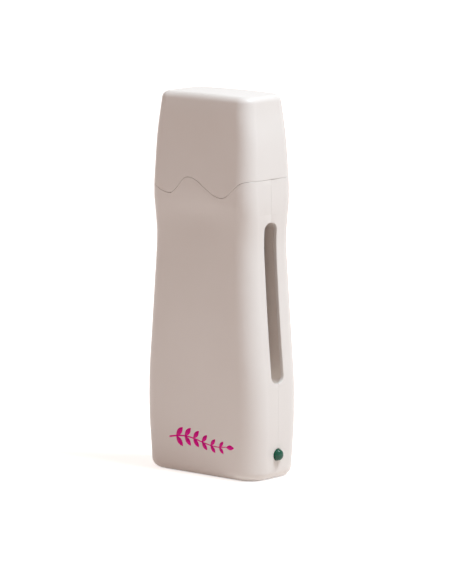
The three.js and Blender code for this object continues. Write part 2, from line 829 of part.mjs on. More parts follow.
function thermalFuse() {
  const end = fuseHalfLength + fuseLeadLength;
  return turned(
    [
      [0, -end],
      [fuseLeadRadius, -end],
      [fuseLeadRadius, -fuseHalfLength],
      [fuseRadius, -fuseHalfLength],
      [fuseRadius, fuseHalfLength - fuseConeLength],
      [fuseLeadRadius, fuseHalfLength],
      [fuseLeadRadius, end],
      [0, end],
    ],
    "x",
    [0, fuseY, fuseHeight],
  );
}

// Strap bent over the fuse, with one ear above and one below
function fuseClip() {
  const inner = fuseRadius + fitGap / 2;
  const outer = inner + clipThickness;
  const back = plateBack + stackGap;
  const strap = new THREE.Shape()
    .moveTo(back, fuseHeight - outer - clipEarLength)
    .lineTo(back + clipThickness, fuseHeight - outer - clipEarLength)
    .lineTo(back + clipThickness, fuseHeight - outer)
    .lineTo(fuseY, fuseHeight - outer)
    .absarc(fuseY, fuseHeight, outer, -quarter, quarter)
    .lineTo(back + clipThickness, fuseHeight + outer)
    .lineTo(back + clipThickness, fuseHeight + outer + clipEarLength)
    .lineTo(back, fuseHeight + outer + clipEarLength)
    .lineTo(back, fuseHeight + inner)
    .lineTo(fuseY, fuseHeight + inner)
    .absarc(fuseY, fuseHeight, inner, quarter, -quarter, true)
    .lineTo(back, fuseHeight - inner);
  return prism(strap, "x", -clipHalfWidth, clipHalfWidth);
}

// Green dome in the right side, flanged behind the wall and bored for the bulb
function indicatorLens() {
  const dome = Array.from({ length: domeSteps + 1 }, (_, i) => {
    const angle = (i / domeSteps) * quarter;
    return [lensRadius * Math.cos(angle), lensSurface + lensProtrusion * Math.sin(angle)];
  });
  dome[domeSteps][0] = 0;
  const boreRadius = bulbRadius + fitGap;
  return turned(
    [
      [0, lensFlangeInner + lensBoreDepth],
      [boreRadius, lensFlangeInner + lensBoreDepth],
      [boreRadius, lensFlangeInner],
      [lensFlangeRadius, lensFlangeInner],
      [lensFlangeRadius, lensFlangeOuter],
      [lensRadius, lensFlangeOuter],
      ...dome,
    ],
    "x",
    [0, 0, lensHeight],
  );
}

function neonLamp() {
  const tip = Array.from({ length: domeSteps + 1 }, (_, i) => {
    const angle = (i / domeSteps) * quarter;
    return [bulbRadius * Math.cos(angle), bulbTip - bulbRadius * (1 - Math.sin(angle))];
  });
  tip[domeSteps][0] = 0;
  return turned([[0, bulbEnd], [bulbRadius, bulbEnd], ...tip], "x", [0, 0, lensHeight]);
}

// Resistor in line with one lead of the bulb, its other lead running to the inlet pin
function lampResistor() {
  const high = bulbEnd - resistorFromBulb;
  const low = high - resistorLength;
  const leadEnd = pinX + pinTailHalfWidth + fitGap;
  return turned(
    [
      [0, leadEnd],
      [resistorLeadRadius, leadEnd],
      [resistorLeadRadius, low],
      [resistorRadius, low],
      [resistorRadius, low + resistorCollar],
      [resistorWaist, low + resistorCollar],
      [resistorWaist, high - resistorCollar],
      [resistorRadius, high - resistorCollar],
      [resistorRadius, high],
      [resistorLeadRadius, high],
      [resistorLeadRadius, bulbEnd - fitGap],
      [0, bulbEnd - fitGap],
    ],
    "x",
    [0, -bulbLeadOffset, lensHeight],
  );
}

// Inlet moulding: a stadium block with a flange behind the wall and a waisted socket
function powerInlet() {
  const block = roundedRectangle(inletHalfWidth, inletHalfHeight, inletCornerRadius, 0, inletHeight);
  const flange = roundedRectangle(
    inletHalfWidth + inletFlangeRim,
    inletHalfHeight + inletFlangeRim,
    inletCornerRadius,
    0,
    inletHeight,
  );
  const lobeAngle = Math.PI - Math.asin(socketWaistHalfHeight / socketLobeRadius);
  const socket = new THREE.Shape()
    .absarc(socketLobeX, inletHeight, socketLobeRadius, -lobeAngle, lobeAngle)
    .absarc(-socketLobeX, inletHeight, socketLobeRadius, Math.PI - lobeAngle, Math.PI + lobeAngle);
  const holes = [-pinX, pinX].map((x) =>
    rod("y", x, inletHeight, pinRadius + pinGap, inletBack - overrun, inletFace),
  );
  const body = prism(block, "y", inletBack, inletFace);
  return cut(body.add(prism(flange, "y", inletFlangeBack, inletFlangeBack + inletFlangeThickness)), [
    prism(socket, "y", inletFace - socketDepth, inletFace + overrun),
    ...holes,
  ]);
}

// Round pin with a flat solder tail
function inletPin(x) {
  const shank = rod("y", x, inletHeight, pinRadius, inletBack - pinTailHalfWidth, inletFace - pinSetback);
  const tail = box(
    [x - pinTailHalfWidth, x + pinTailHalfWidth],
    [pinTailEnd, inletBack - pinTailHalfWidth / 2],
    [inletHeight - pinTailHalfThickness, inletHeight + pinTailHalfThickness],
  );
  return shank.add(tail);
}

// Wires: the ends follow the pieces that they meet, the points between are chosen by hand
const terminalEnd = baseFront - stackGap - terminalLength - fitGap;
const tabMiddle = stackBottom - tabLength / 2;
const wireEnds = {
  livePin: [-pinX, pinTailEnd - fitGap, inletHeight],
  neutralPin: [pinX, pinTailEnd - fitGap, inletHeight],
  rightTerminal: [terminalX, terminalEnd, thermostatHeight],
  leftTerminal: [-terminalX, terminalEnd, thermostatHeight],
  fuseLeft: [-fuseHalfLength - fuseLeadLength - fitGap, fuseY, fuseHeight],
  fuseRight: [fuseHalfLength + fuseLeadLength + fitGap, fuseY, fuseHeight],
  rearTab: [tabX, (rearElectrode[0] + rearElectrode[1]) / 2, stackBottom - tabLength - fitGap],
  frontTab: [tabOutreach - tabWidth / 2, frontElectrode[1] + fitGap + wireRadius, tabMiddle],
  bulbLead: [bulbEnd - fitGap, bulbLeadOffset, lensHeight],
  underLivePin: [-pinX, pinTailEnd + pinTailHalfWidth, inletHeight - pinTailHalfThickness - fitGap],
};

const wires = {
  wire_live: {
    radius: wireRadius,
    steps: 18,
    points: [
      wireEnds.livePin,
      [-4.2, -8, 13.6],
      [-3.2, -12.4, 18],
      [0.5, -14.6, 26],
      [3.6, -14.6, 32],
      [4.5, -13, 35.6],
      wireEnds.rightTerminal,
    ],
  },
  wire_neutral: {
    radius: wireRadius,
    steps: 24,
    points: [
      wireEnds.neutralPin,
      [5.4, -7.4, 13.8],
      [10, -9, 18],
      [15.6, -5, 25],
      [17.7, 3, 33],
      [17.7, 10.5, 41],
      [15, 15, 49],
      [11.6, 15.3, 54],
      wireEnds.frontTab,
    ],
  },
  wire_thermostat: {
    radius: wireRadius,
    steps: 24,
    points: [
      wireEnds.leftTerminal,
      [-5, -12.4, 36.6],
      [-9, -13.4, 39],
      [-15, -9.4, 41.6],
      [-17.6, -1, 42.6],
      [-17.7, 8, 43.4],
      [-16, 14.4, 45],
      [-12, 15.8, 46],
      wireEnds.fuseLeft,
    ],
  },
  wire_fuse: {
    radius: wireRadius,
    steps: 14,
    points: [
      wireEnds.fuseRight,
      [10.4, 15.8, 46.4],
      [11.2, 15.9, 48.8],
      [8.6, 15.9, 51.6],
      [5, 15.7, 54],
      wireEnds.rearTab,
    ],
  },
  wire_lamp: {
    radius: lampWireRadius,
    steps: 24,
    points: [
      wireEnds.bulbLead,
      [24, 1.2, 12.6],
      [19, 1, 8.4],
      [10, -0.6, 6],
      [0, -1.6, 6],
      [-4, -1.7, 8.4],
      wireEnds.underLivePin,
    ],
  },
};

// Materials
function finish(color, roughness, metalness = 0) {
  return new THREE.MeshStandardMaterial({ color, roughness, metalness });
}

const ivoryPlastic = finish("#e9e2db", 0.45);
const wellPlastic = finish("#d9d0c6", 0.55);
const aluminium = finish("#b9bcc0", 0.35, 1);
const steel = finish("#8f9296", 0.35, 1);
const brass = finish("#b8974c", 0.35, 1);
const phenolic = finish("#3a2a22", 0.6);
const ceramic = finish("#7d7a76", 0.8);
const mica = finish("#c9b48a", 0.5);
const blackPlastic = finish("#26241f", 0.5);
const greenLens = finish("#1d6b4c", 0.15);
const glass = finish("#e8eef0", 0.05);
const resistorPaint = finish("#c8a878", 0.6);
const brownWire = finish("#5b3a26", 0.6);
const blueWire = finish("#2f4f8a", 0.6);

const heater = new THREE.Group();
heater.name = "roll_on_wax_heater";

function addPiece(name, solid, material) {
  const mesh = new THREE.Mesh(geometryFrom(solid), material);
  mesh.name = name;
  heater.add(mesh);
}

addPiece("front_shell", shellHalf(-1), ivoryPlastic);
addPiece("rear_shell", shellHalf(1), ivoryPlastic);
addPiece("cap", capShell(), ivoryPlastic);
addPiece("cartridge_well", cartridgeWell(), wellPlastic);
addPiece("heater_plate", heaterPlate(), aluminium);
addPiece("mica_sheet_front", insulatingSheet(frontSheet), mica);
addPiece("electrode_front", electrode(frontElectrode, tabX, tabOutreach), brass);
addPiece("ptc_pill_lower", pill(stackBottom), ceramic);
addPiece("ptc_pill_upper", pill(stackBottom + pillHeight + pillSpacing), ceramic);
addPiece("electrode_rear", electrode(rearElectrode, tabX - tabWidth / 2, tabX + tabWidth / 2), brass);
addPiece("mica_sheet_rear", insulatingSheet(rearSheet), mica);
addPiece("heater_clamp", heaterClamp(), steel);
addPiece("thermostat_cup", thermostatCup(), aluminium);
addPiece("thermostat_body", thermostatBody(), phenolic);
addPiece("thermostat_bracket", thermostatBracket(), steel);
addPiece("thermal_fuse", thermalFuse(), aluminium);
addPiece("fuse_clip", fuseClip(), steel);
addPiece("indicator_lens", indicatorLens(), greenLens);
addPiece("neon_lamp", neonLamp(), glass);
addPiece("lamp_resistor", lampResistor(), resistorPaint);
addPiece("power_inlet", powerInlet(), blackPlastic);

for (const [side, sign] of [["left", -1], ["right", 1]]) {
  const clampSeat = plateBack + stackGap + clampThickness;
  const clampLength = clampThickness + plateThickness;
  const bracketLength = plateBack + smallScrewTail - bracketFront;
  const clampPlace = { ...smallScrew, length: clampLength };
  const bracketPlace = { ...smallScrew, length: bracketLength };
  addPiece(`clamp_screw_${side}`, screw(sign * clampScrewX, plateMiddle, clampSeat, 1, clampPlace), steel);
  addPiece(
    `bracket_screw_${side}`,
    screw(sign * bracketScrewX, thermostatHeight, bracketFront, -1, bracketPlace),
    steel,
  );
  addPiece(`thermostat_terminal_${side}`, terminal(sign * terminalX), brass);
  addPiece(`inlet_pin_${side}`, inletPin(sign * pinX), brass);
}

for (const { name, x, z } of caseScrewPlaces) {
  addPiece(`case_screw_${name}`, screw(x, z, caseScrewSeat, 1, caseScrew), steel);
}

for (const [name, { points, radius, steps }] of Object.entries(wires)) {
  addPiece(name, wire(points, radius, steps), name === "wire_neutral" ? blueWire : brownWire);
}

export default heater;
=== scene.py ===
# Roll-on wax heater: the looks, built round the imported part
import math

import bmesh
import bpy
from mathutils import Matrix, Vector


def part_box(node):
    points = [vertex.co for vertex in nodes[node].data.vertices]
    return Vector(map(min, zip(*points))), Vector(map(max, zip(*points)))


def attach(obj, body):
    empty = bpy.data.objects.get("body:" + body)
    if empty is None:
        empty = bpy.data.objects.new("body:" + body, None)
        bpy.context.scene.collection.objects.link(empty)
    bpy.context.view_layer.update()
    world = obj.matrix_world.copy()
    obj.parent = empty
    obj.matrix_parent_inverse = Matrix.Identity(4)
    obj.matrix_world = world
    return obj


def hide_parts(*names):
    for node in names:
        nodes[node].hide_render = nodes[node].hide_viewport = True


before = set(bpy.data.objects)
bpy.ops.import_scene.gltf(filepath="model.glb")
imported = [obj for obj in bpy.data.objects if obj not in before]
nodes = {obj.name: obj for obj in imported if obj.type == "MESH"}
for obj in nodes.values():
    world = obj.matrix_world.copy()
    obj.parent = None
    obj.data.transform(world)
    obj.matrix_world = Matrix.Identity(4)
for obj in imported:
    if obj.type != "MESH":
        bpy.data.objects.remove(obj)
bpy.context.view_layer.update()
mm = 0.001
full = 2 * math.pi
quarterTurn = math.pi / 2
poleAngle = 1.57  # from here up a dome's profile lies on its axis
mergeDistance = 0.001 * mm
print("frame loaded with", len(nodes), "nodes")

# Camera, at the photograph's angle
photoView = {
    "azimuth": math.radians(40.72),
    "elevation": math.radians(8.745),
    "distance": 2.2925,
    "aimHeight": 0.1025,
    "lens": 264.41,
    "sensor": 36,
    "shiftX": 0.00782,
    "shiftY": -0.01741,
}


def placeCamera(look):
    data = bpy.data.cameras.new("photoCamera")
    data.lens = look["lens"]
    data.sensor_width = look["sensor"]
    data.shift_x = look["shiftX"]
    data.shift_y = look["shiftY"]
    camera = bpy.data.objects.new("photoCamera", data)
    bpy.context.scene.collection.objects.link(camera)
    level = math.cos(look["elevation"])
    away = Vector(
        (
            math.sin(look["azimuth"]) * level,
            -math.cos(look["azimuth"]) * level,
            math.sin(look["elevation"]),
        )
    )
    camera.location = Vector((0, 0, look["aimHeight"])) + away * look["distance"]
    camera.rotation_euler = (-away).to_track_quat("-Z", "Y").to_euler()
    bpy.context.scene.camera = camera


placeCamera(photoView)
bpy.context.scene.view_settings.view_transform = "Standard"
print("camera placed")


# Materials
def newMaterial(name):
    material = bpy.data.materials.new(name)
    material.use_nodes = True
    shader = material.node_tree.nodes["Principled BSDF"]
    return material, material.node_tree, shader


def addNode(tree, kind, **settings):
    node = tree.nodes.new(kind)
    for key, value in settings.items():
        if hasattr(node, key):
            setattr(node, key, value)
        else:
            node.inputs[key.replace("_", " ")].default_value = value
    return node


def objectNoise(tree, scale, detail=3.0, stretch=None):
    place = addNode(tree, "ShaderNodeTexCoord").outputs["Object"]
    if stretch:
        mapping = addNode(tree, "ShaderNodeMapping", Scale=stretch)
        tree.links.new(place, mapping.inputs["Vector"])
        place = mapping.outputs["Vector"]
    noise = addNode(tree, "ShaderNodeTexNoise", Scale=scale, Detail=detail)
    tree.links.new(place, noise.inputs["Vector"])
    return noise.outputs["Fac"]


def spread(tree, source, low, high, fromLow=0.3, fromHigh=0.7):
    node = addNode(tree, "ShaderNodeMapRange")
    node.inputs["From Min"].default_value = fromLow
    node.inputs["From Max"].default_value = fromHigh
    node.inputs["To Min"].default_value = low
    node.inputs["To Max"].default_value = high
    tree.links.new(source, node.inputs["Value"])
    return node.outputs["Result"]


def blendColours(tree, factor, first, second):
    node = addNode(tree, "ShaderNodeMix", data_type="RGBA")
    tree.links.new(factor, node.inputs["Factor"])
    for socket, colour in (("A", first), ("B", second)):
        target = [i for i in node.inputs if i.name == socket and i.type == "RGBA"][0]
        if isinstance(colour, bpy.types.NodeSocket):
            tree.links.new(colour, target)
        else:
            target.default_value = (*colour, 1)
    return [o for o in node.outputs if o.type == "RGBA"][0]


def addBump(tree, shader, height, strength, distance):
    bump = addNode(tree, "ShaderNodeBump", Strength=strength, Distance=distance)
    tree.links.new(height, bump.inputs["Height"])
    tree.links.new(bump.outputs["Normal"], shader.inputs["Normal"])


def surfaceFinish(name, look):
    material, tree, shader = newMaterial(name)
    stretch = look.get("stretch")
    slow = objectNoise(tree, look["patchScale"], 2.0, stretch)
    fine = objectNoise(tree, look["grainScale"], look.get("grainDetail", 3.0), stretch)
    colour = blendColours(tree, spread(tree, slow, 0, 1), look["colour"], look["colourLow"])
    tree.links.new(colour, shader.inputs["Base Color"])
    rough = spread(tree, fine, look["rough"][0], look["rough"][1])
    tree.links.new(rough, shader.inputs["Roughness"])
    addBump(tree, shader, fine, look["bump"], look["bumpDepth"])
    for socket, value in look.get("sockets", {}).items():
        shader.inputs[socket].default_value = value
    return material


ivory = {
    "colour": (0.83, 0.785, 0.75),
    "colourLow": (0.80, 0.75, 0.71),
    "patchScale": 18,
    "grainScale": 2400,
    "rough": (0.34, 0.44),
    "bump": 0.12,
    "bumpDepth": 0.05 * mm,
    "sockets": {"IOR": 1.49, "Specular IOR Level": 0.45},
}
materials = {
    "casing": surfaceFinish("ivoryCasing", ivory),
    "well": surfaceFinish(
        "heatproofWell",
        ivory
        | {
            "colour": (0.82, 0.745, 0.685),
            "colourLow": (0.78, 0.7, 0.64),
            "rough": (0.45, 0.6),
            "grainScale": 1800,
        },
    ),
    "aluminium": surfaceFinish(
        "milledAluminium",
        {
            "colour": (0.72, 0.73, 0.75),
            "colourLow": (0.62, 0.63, 0.65),
            "patchScale": 60,
            "grainScale": 500,
            "stretch": (1, 1, 12),
            "rough": (0.28, 0.42),
            "bump": 0.2,
            "bumpDepth": 0.03 * mm,
            "sockets": {"Metallic": 1},
        },
    ),
    "springSteel": surfaceFinish(
        "springSteel",
        {
            "colour": (0.5, 0.5, 0.52),
            "colourLow": (0.38, 0.38, 0.41),
            "patchScale": 90,
            "grainScale": 700,
            "stretch": (10, 1, 1),
            "rough": (0.25, 0.4),
            "bump": 0.15,
            "bumpDepth": 0.02 * mm,
            "sockets": {"Metallic": 1},
        },
    ),
    "zinc": surfaceFinish(
        "zincPlate",
        {
            "colour": (0.62, 0.61, 0.58),
            "colourLow": (0.5, 0.48, 0.42),
            "patchScale": 400,
            "grainScale": 2500,
            "rough": (0.22, 0.38),
            "bump": 0.15,
            "bumpDepth": 0.02 * mm,
            "sockets": {"Metallic": 1},
        },
    ),
    "brass": surfaceFinish(
        "stampedBrass",
        {
            "colour": (0.72, 0.55, 0.26),
            "colourLow": (0.55, 0.4, 0.18),
            "patchScale": 150,
            "grainScale": 1500,
            "rough": (0.22, 0.36),
            "bump": 0.12,
            "bumpDepth": 0.02 * mm,
            "sockets": {"Metallic": 1},
        },
    ),
    "mica": surfaceFinish(
        "pressedMica",
        {
            "colour": (0.62, 0.5, 0.32),
            "colourLow": (0.38, 0.27, 0.14),
            "patchScale": 220,
            "grainScale": 900,
            "stretch": (1, 6, 1),
            "rough": (0.25, 0.5),
            "bump": 0.3,
            "bumpDepth": 0.04 * mm,
            "sockets": {"Coat Weight": 0.3},
        },
    ),
    "ceramic": surfaceFinish(
        "firedCeramic",
        {
            "colour": (0.16, 0.15, 0.14),
            "colourLow": (0.1, 0.095, 0.09),
            "patchScale": 200,
            "grainScale": 3000,
            "rough": (0.7, 0.9),
            "bump": 0.4,
            "bumpDepth": 0.04 * mm,
        },
    ),
    "phenolic": surfaceFinish(
        "phenolicMoulding",
        {
            "colour": (0.04, 0.022, 0.014),
            "colourLow": (0.02, 0.011, 0.008),
            "patchScale": 900,
            "grainScale": 2600,
            "rough": (0.35, 0.55),
            "bump": 0.2,
            "bumpDepth": 0.03 * mm,
        },
    ),
    "blackPlastic": surfaceFinish(
        "blackInlet",
        {
            "colour": (0.018, 0.018, 0.018),
            "colourLow": (0.012, 0.012, 0.012),
            "patchScale": 60,
            "grainScale": 2600,
            "rough": (0.35, 0.5),
            "bump": 0.25,
            "bumpDepth": 0.05 * mm,
        },
    ),
    "brownWire": surfaceFinish(
        "brownInsulation",
        {
            "colour": (0.11, 0.045, 0.02),
            "colourLow": (0.085, 0.034, 0.015),
            "patchScale": 120,
            "grainScale": 1800,
            "rough": (0.4, 0.55),
            "bump": 0.1,
            "bumpDepth": 0.03 * mm,
        },
    ),
    "blueWire": surfaceFinish(
        "blueInsulation",
        {
            "colour": (0.02, 0.07, 0.27),
            "colourLow": (0.015, 0.055, 0.21),
            "patchScale": 120,
            "grainScale": 1800,
            "rough": (0.4, 0.55),
            "bump": 0.1,
            "bumpDepth": 0.03 * mm,
        },
    ),
    "greenLens": surfaceFinish(
        "greenLens",
        {
            "colour": (0.006, 0.125, 0.068),
            "colourLow": (0.004, 0.095, 0.05),
            "patchScale": 300,
            "grainScale": 900,
            "grainDetail": 1.0,
            "rough": (0.05, 0.09),
            "bump": 0.03,
            "bumpDepth": 0.02 * mm,
            "sockets": {"Transmission Weight": 0.2, "Specular IOR Level": 0.25, "IOR": 1.5},
        },
    ),
    "lampGlass": surfaceFinish(
        "lampGlass",
        {
            "colour": (0.95, 0.96, 0.96),
            "colourLow": (0.9, 0.92, 0.92),
            "patchScale": 200,
            "grainScale": 500,
            "rough": (0.02, 0.06),
            "bump": 0.05,
            "bumpDepth": 0.02 * mm,
            "sockets": {"Transmission Weight": 0.95, "IOR": 1.47},
        },
    ),
    "resistor": surfaceFinish(
        "resistorLacquer",
        {
            "colour": (0.58, 0.4, 0.2),
            "colourLow": (0.5, 0.33, 0.15),
            "patchScale": 400,
            "grainScale": 1500,
            "rough": (0.25, 0.4),
            "bump": 0.1,
            "bumpDepth": 0.03 * mm,
        },
    ),
    "magentaInk": surfaceFinish(
        "magentaInk",
        {
            "colour": (0.88, 0.004, 0.33),
            "colourLow": (0.8, 0.003, 0.29),
            "patchScale": 300,
            "grainScale": 3000,
            "rough": (0.35, 0.5),
            "bump": 0.08,
            "bumpDepth": 0.02 * mm,
            "sockets": {"Specular IOR Level": 0.12},
        },
    ),
}
print("materials made:", len(materials))

# CAD nodes that stay, with their finish
nodeFinish = {
    "heater_plate": "aluminium",
    "thermostat_cup": "aluminium",
    "thermal_fuse": "aluminium",
    "heater_clamp": "springSteel",
    "fuse_clip": "springSteel",
    "thermostat_bracket": "springSteel",
    "clamp_screw_left": "zinc",
    "clamp_screw_right": "zinc",
    "bracket_screw_left": "zinc",
    "bracket_screw_right": "zinc",
    "electrode_front": "brass",
    "electrode_rear": "brass",
    "thermostat_terminal_left": "brass",
    "thermostat_terminal_right": "brass",
    "mica_sheet_front": "mica",
    "mica_sheet_rear": "mica",
    "ptc_pill_lower": "ceramic",
    "ptc_pill_upper": "ceramic",
    "thermostat_body": "phenolic",
    "neon_lamp": "lampGlass",
    "lamp_resistor": "resistor",
    "wire_live": "brownWire",
    "wire_thermostat": "brownWire",
    "wire_fuse": "brownWire",
    "wire_lamp": "brownWire",
    "wire_neutral": "blueWire",
}


def dressNode(name, finish):
    piece = nodes[name]
    if not piece.material_slots:
        piece.data.materials.append(None)
    for slot in piece.material_slots:
        slot.material = materials[finish]


for nodeName, finishName in nodeFinish.items():
    dressNode(nodeName, finishName)
print("inner nodes dressed:", len(nodeFinish))


# Pieces
def camelName(nodeName):
    first, *others = nodeName.split("_")
    return first + "".join(word.title() for word in others)


def makePiece(name, bm, finish, body, replaced=()):
    mesh = bpy.data.meshes.new(name)
    bm.to_mesh(mesh)
    bm.free()
    mesh.materials.append(materials[finish])
    mesh.shade_smooth()
    piece = bpy.data.objects.new(name, mesh)
    bpy.context.scene.collection.objects.link(piece)
    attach(piece, body)
    if replaced:
        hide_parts(*replaced)
    return piece


def settleModifiers(piece):
    depsgraph = bpy.context.evaluated_depsgraph_get()
    mesh = bpy.data.meshes.new_from_object(piece.evaluated_get(depsgraph), depsgraph=depsgraph)
    piece.modifiers.clear()
    piece.data = mesh
    return mesh


def roundEdges(piece, width, segments, limit="WEIGHT", angle=40, clamp=True):
    bevel = piece.modifiers.new("roundedEdges", "BEVEL")
    bevel.limit_method = limit
    bevel.angle_limit = math.radians(angle)
    bevel.width = width
    bevel.segments = segments
    bevel.use_clamp_overlap = clamp
    bevel.miter_outer = "MITER_SHARP"
    normals = piece.modifiers.new("evenNormals", "WEIGHTED_NORMAL")
    normals.keep_sharp = True


# Casing: the front and rear shells and the cap share one outer form
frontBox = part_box("front_shell")
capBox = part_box("cap")
casing = {
    "height": capBox[1].z,
    "halfWidth": 0.9997 * frontBox[1].x,  # a hair inside the CAD's box
    "halfDepth": -0.9988 * frontBox[0].y,
    "bodyProfile": [  # shares of the height, the half width and the half depth
        (0, 0.965, 0.956),
        (0.07, 0.983, 0.98),
        (0.15, 1, 0.99),
        (0.25, 0.989, 0.998),
        (0.35, 0.943, 1),
        (0.49, 0.888, 0.973),
        (0.62, 0.852, 0.932),
        (0.67, 0.864, 0.938),
        (0.72, 0.872, 0.98),
    ],
    "headProfile": [
        (0.72, 0.872, 0.98),
        (0.76, 0.864, 0.988),
        (0.8, 0.857, 0.963),
        (0.88, 0.841, 0.905),
        (0.95, 0.797, 0.861),
        (1, 0.779, 0.773),
    ],
    "profileSteps": 10,
    "cornerAtBase": 12.3 * mm,
    "cornerAtTop": 7.4 * mm,
    "baseEdge": 4.8 * mm,
    "topEdge": 3.2 * mm,
    "topMargin": 1 * mm,
    "crown": 0.5 * mm,
    "wall": 2.2 * mm,
    "capWall": 2 * mm,
    "seamGap": 0.02 * mm,
    "seamEdge": 0.04 * mm,
    "plainEdge": 0.2 * mm,
    "cornerSteps": 12,
    "faceSteps": 54,
    "edgeSteps": 7,
    "foldShares": [0, 0.2, 0.4, 0.6, 0.8],
    "lowRows": [6.3 * mm, 18.9 * mm, 24.9 * mm, 32 * mm, 40 * mm, 48.7 * mm],
    "highRows": [142 * mm, 144.5 * mm],
    "shellLevel": 146.5 * mm,  # the shells' rows bend into the wave above this
    "shellWaveSteps": 5,
    "capLevel": 166 * mm,  # the cap's rows bend into the wave below this
    "capWaveSteps": 6,
    "capSteps": 10,
    "wavePasses": 4,
    "bevelSteps": 5,
    "bevelAngle": math.radians(35),
    "skinDepth": 0.4 * mm,  # an edge of a slot this near the skin is its outer lip
    "seamReach": 0.2 * mm,
    "capMerge": 0.01 * mm,
    "capInside": 15 * mm,
}
dish = {
    "depth": 0.8 * mm,
    "halfWidth": 27 * mm,
    "halfHeight": 14 * mm,
    "height": 139 * mm,
}
wave = {
    "high": 160.5 * mm,
    "low": 151 * mm,
    "gap": 0.18 * mm,  # the open line under the cap
    "sideGap": 0.07 * mm,  # the same on the narrow sides, from sideStart outwards
    "sideStart": 30.5 * mm,
    "sideBlend": 2.5 * mm,
    "crestX": -6.2 * mm,
    "leftFall": 13.3 * mm,
    "rightFall": 22.7 * mm,
    "leftRise": 25 * mm,
    "rightRise": 16.6 * mm,
}


def splineThrough(knots, steps):
    knots = [2 * knots[0] - knots[1], *knots, 2 * knots[-1] - knots[-2]]
    line = []
    for before, start, end, after in zip(knots, knots[1:], knots[2:], knots[3:]):
        first, middle, last = (
            math.sqrt((b - a).length) for a, b in ((before, start), (start, end), (end, after))
        )
        pace = (end - start) / middle
        leave = (start - before) / first - (end - before) / (first + middle) + pace
        arrive = pace - (after - start) / (middle + last) + (after - end) / last
        for step in range(steps):
            t = step / steps
            ends = start * (2 * t**3 - 3 * t**2 + 1) + end * (3 * t**2 - 2 * t**3)
            slopes = leave * (t**3 - 2 * t**2 + t) + arrive * (t**3 - t**2)
            line.append(ends + slopes * middle)
    return line + [knots[-2]]


def profileLine(shares):
    across, through, tall = casing["halfWidth"], casing["halfDepth"], casing["height"]
    knots = [
        Vector((width * across, depth * through, height * tall)) for height, width, depth in shares
    ]
    return splineThrough(knots, casing["profileSteps"])


casingLine = profileLine(casing["bodyProfile"])[:-1] + profileLine(casing["headProfile"])


def casingSize(z):
    for low, high in zip(casingLine, casingLine[1:]):
        if z <= high.z:
            break
    size = low.lerp(high, (z - low.z) / (high.z - low.z))
    base, top = casing["cornerAtBase"], casing["cornerAtTop"]
    corner = base + (top - base) * z / casing["height"]
    return size.x, size.y, corner


def waveHeight(x):
    leftTrough = wave["crestX"] - wave["leftFall"]
    rightTrough = wave["crestX"] + wave["rightFall"]
    turns = [
        (leftTrough - wave["leftRise"], wave["high"]),
        (leftTrough, wave["low"]),
        (wave["crestX"], wave["high"]),
        (rightTrough, wave["low"]),
        (rightTrough + wave["rightRise"], wave["high"]),
    ]
    for (x0, z0), (x1, z1) in zip(turns, turns[1:]):
        if x0 <= x <= x1:
            return z0 + (z1 - z0) * (1 - math.cos(math.pi * (x - x0) / (x1 - x0))) / 2
    return wave["high"]


def gapShare(x):
    side = min(1, max(0, (abs(x) - wave["sideStart"]) / wave["sideBlend"]))
    return 1 + (wave["sideGap"] / wave["gap"] - 1) * side


def dishAt(x, z):
    reach = math.hypot(x / dish["halfWidth"], (z - dish["height"]) / dish["halfHeight"])
    return dish["depth"] * (1 + math.cos(math.pi * reach)) / 2 if reach < 1 else 0


def ringPlaces():
    corner, face = casing["cornerSteps"], casing["faceSteps"]
    places = [("side", 1, 0)]
    places += [("corner", 1, step / corner) for step in range(corner)]
    places += [("face", 1, step / face) for step in range(face)]
    places += [("corner", -1, 1 - step / corner) for step in range(corner + 1)]
    return places + [("side", -1, 0)]


def ringPoint(place, z, inset, seam):
    section, sign, share = place
    width, depth, corner = casingSize(z)
    radius = corner - inset
    flatX = width - corner
    flatY = depth - corner
    if section == "side":
        return Vector((sign * (flatX + radius), -seam, z))
    if section == "face":
        return Vector((flatX * (1 - 2 * share), -flatY - radius, z))
    angle = share * quarterTurn
    x = sign * (flatX + radius * math.cos(angle))
    return Vector((x, -flatY - radius * math.sin(angle), z))


def skinPoint(place, row, seam, dished):
    inset = row.get("inset", 0)
    point = ringPoint(place, row["z"], inset, seam)
    for _ in range(casing["wavePasses"] if "wave" in row else 0):
        target = waveHeight(point.x) + row["shift"] * gapShare(point.x)
        point = ringPoint(place, row["z"] + (target - row["z"]) * row["wave"], inset, seam)
    if dished:
        point.y += dishAt(point.x, point.z)
    width, depth = casingSize(row["z"])[:2]
    if "fold" in row:
        spine = width - depth
        middle = Vector((max(-spine, min(spine, point.x)), -seam, point.z))
        point = middle.lerp(point, row["fold"])
    if "crown" in row:
        point.z += row["crown"] * (1 - (point.x / (width - inset)) ** 2)
    return point


def halfSkin(rows, seam, dished=False):
    places = ringPlaces()
    bm = bmesh.new()
    columns, levels = len(places) - 1, len(rows) - 1
    bmesh.ops.create_grid(bm, x_segments=columns, y_segments=levels, size=1)
    for vert in bm.verts:
        column = round((vert.co.x + 1) / 2 * columns)
        level = round((vert.co.y + 1) / 2 * levels)
        vert.co = skinPoint(places[column], rows[level], seam, dished)
    bmesh.ops.remove_doubles(bm, verts=bm.verts, dist=mergeDistance)
    return bm


def edgeArc(steps):
    return [step / steps * quarterTurn for step in range(steps + 1)]


def faceOutwards(bm, middle):
    bm.normal_update()
    outward = 0
    for face in bm.faces:
        outward += face.normal.dot(face.calc_center_median() - middle) * face.calc_area()
    if outward < 0:
        bmesh.ops.reverse_faces(bm, faces=bm.faces)


